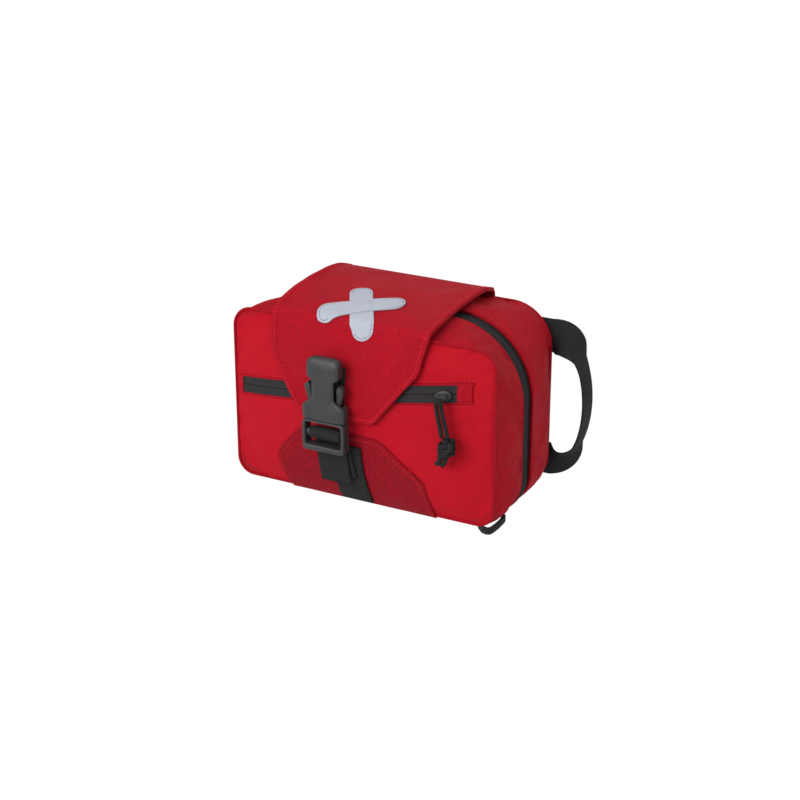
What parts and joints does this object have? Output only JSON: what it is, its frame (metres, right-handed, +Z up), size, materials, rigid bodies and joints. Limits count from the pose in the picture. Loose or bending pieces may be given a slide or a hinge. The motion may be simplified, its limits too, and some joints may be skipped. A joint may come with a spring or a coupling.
{
  "type": "first aid kit",
  "caption": "Padded red clamshell first aid bag with a buckled top flap, zipped front pocket, side webbing handle and medical contents inside.",
  "frame": {"origin": "on the floor, at the middle of the bag's base, on the fold line between the front and back halves", "axes": "+X to the side with the webbing handle, -Y out of the buckled front, +Z up"},
  "size_m": [0.2331, 0.1456, 0.1462],
  "materials": {
    "red_nylon": "woven ripstop nylon over a thin foam padding",
    "dark_red_nylon": "woven nylon, unlined single layer",
    "lining": "woven lining and mesh",
    "zip_tape": "coil zip tape with a water-repellent face",
    "webbing": "woven polyester webbing",
    "cord": "braided cord",
    "reflective": "grey retro-reflective patch, stitched",
    "buckle": "acetal with a fine satin grain",
    "slider_metal": "black coated zinc",
    "bandage": "elastic crepe bandage",
    "tape": "zinc oxide tape on a plastic core",
    "paper": "sterile paper packet",
    "foil": "folded metallised film in a clear bag",
    "steel": "brushed stainless steel"
  },
  "bodies": {
    "back_half": {"back_shell": "red_nylon", "back_zip_tape": "zip_tape", "hinge_gusset": "dark_red_nylon", "flap_hinge_tape": "dark_red_nylon", "rear_belt_loop_left": "webbing", "rear_belt_loop_right": "webbing", "handle_anchor_upper": "webbing", "handle_anchor_lower": "webbing", "organiser_band": "lining", "bandage_roll_large": "bandage", "bandage_roll_left": "bandage", "bandage_roll_right": "bandage", "tape_roll": "tape", "tweezers": "steel"},
    "front_half": {"front_shell": "red_nylon", "front_zip_tape": "zip_tape", "pocket_zip_tape": "zip_tape", "pocket_zip_stop": "dark_red_nylon", "lower_wing": "dark_red_nylon", "lower_strap": "webbing", "base_lash_loop": "webbing", "inner_pocket": "lining", "gauze_pack": "paper", "plaster_packet": "paper", "foil_blanket_pack": "foil"},
    "flap": {"top_flap": "red_nylon", "flap_emblem": "reflective", "socket_tab": "webbing", "buckle_socket": "buckle"},
    "plug": {"buckle_plug": "buckle", "strap_tail": "webbing"},
    "prong_left": {"buckle_prong_left": "buckle"},
    "prong_right": {"buckle_prong_right": "buckle"},
    "pocket_slider": {"pocket_slider": "slider_metal"},
    "puller": {"puller_cord": "cord", "puller_knot": "cord"},
    "main_slider_left": {"main_slider_left": "slider_metal", "main_tab_left": "slider_metal"},
    "main_slider_right": {"main_slider_right": "slider_metal", "main_tab_right": "slider_metal"},
    "handle": {"side_handle": "webbing"}
  },
  "joints": [
    {"name": "flap_hinge", "type": "hinge", "parent": "back_half", "child": "flap", "pos_m": [0, 0.0616, 0.1356], "axis": [-1, 0, 0], "range_deg": [0, 200]},
    {"name": "front_opening", "type": "hinge", "parent": "back_half", "child": "front_half", "pos_m": [0, 0, 0.002], "axis": [1, 0, 0], "range_deg": [0, 76]},
    {"name": "buckle_release", "type": "slide", "parent": "flap", "child": "plug", "axis": [0, 0, -1], "range_m": [0, 0.022]},
    {"name": "prong_left_squeeze", "type": "hinge", "parent": "plug", "child": "prong_left", "pos_m": [-0.0224, -0.06487, 0.0723], "axis": [0, 1, 0], "range_deg": [0, 12]},
    {"name": "prong_right_squeeze", "type": "hinge", "parent": "plug", "child": "prong_right", "pos_m": [-0.0056, -0.06487, 0.0723], "axis": [0, -1, 0], "range_deg": [0, 12]},
    {"name": "pocket_zip", "type": "slide", "parent": "front_half", "child": "pocket_slider", "axis": [-0.982, -0.1207, -0.1456], "range_m": [0, 0.018]},
    {"name": "puller_swing", "type": "hinge", "parent": "pocket_slider", "child": "puller", "pos_m": [0.069, -0.05838, 0.09817], "axis": [-1, 0, 0], "range_deg": [0, 80]},
    {"name": "main_zip_left", "type": "slide", "parent": "back_half", "child": "main_slider_left", "axis": [-1, 0, 0], "range_m": [0, 0.04]},
    {"name": "main_zip_right", "type": "slide", "parent": "back_half", "child": "main_slider_right", "axis": [1, 0, 0], "range_m": [0, 0.04]},
    {"name": "handle_swing", "type": "hinge", "parent": "back_half", "child": "handle", "pos_m": [0.097, 0.0632, 0.063], "axis": [0, 0, 1], "range_deg": [-24, 65]}
  ],
  "couplings": [
    {"joint": "front_opening", "follows": "flap_hinge", "ratio": 0.375},
    {"joint": "prong_left_squeeze", "follows": "buckle_release", "rad_per_m": 9.0909},
    {"joint": "prong_right_squeeze", "follows": "buckle_release", "rad_per_m": 9.0909}
  ]
}
